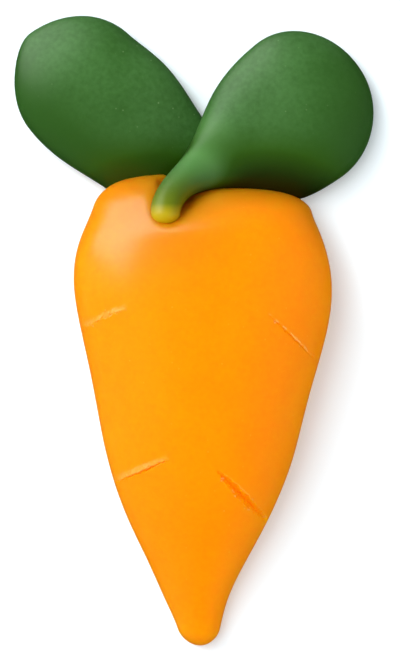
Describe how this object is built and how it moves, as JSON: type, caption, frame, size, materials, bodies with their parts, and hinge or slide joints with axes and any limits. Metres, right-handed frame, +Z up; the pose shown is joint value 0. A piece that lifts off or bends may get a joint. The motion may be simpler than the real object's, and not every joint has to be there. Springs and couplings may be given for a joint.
{
  "type": "marzipan carrot cake decoration",
  "caption": "Hand-modelled marzipan carrot that lies flat on carrot cake: plump orange root scored with a knife, green leaves pressed into its crown.",
  "frame": {"origin": "on the board or icing that the carrot lies on, under the middle of its bounding box", "axes": "+Y from the root's tip to the leaves, +X to the right as seen from above with the leaves away from the viewer, +Z up from the board"},
  "size_m": [0.0343, 0.06, 0.013],
  "materials": {
    "orange_marzipan": "soft satin sugar paste, smooth from the hand",
    "green_marzipan": "soft satin sugar paste, smooth from the hand"
  },
  "bodies": {
    "root": {"carrot_body": "orange_marzipan", "leaf_left": "green_marzipan", "leaf_right": "green_marzipan"}
  },
  "joints": []
}
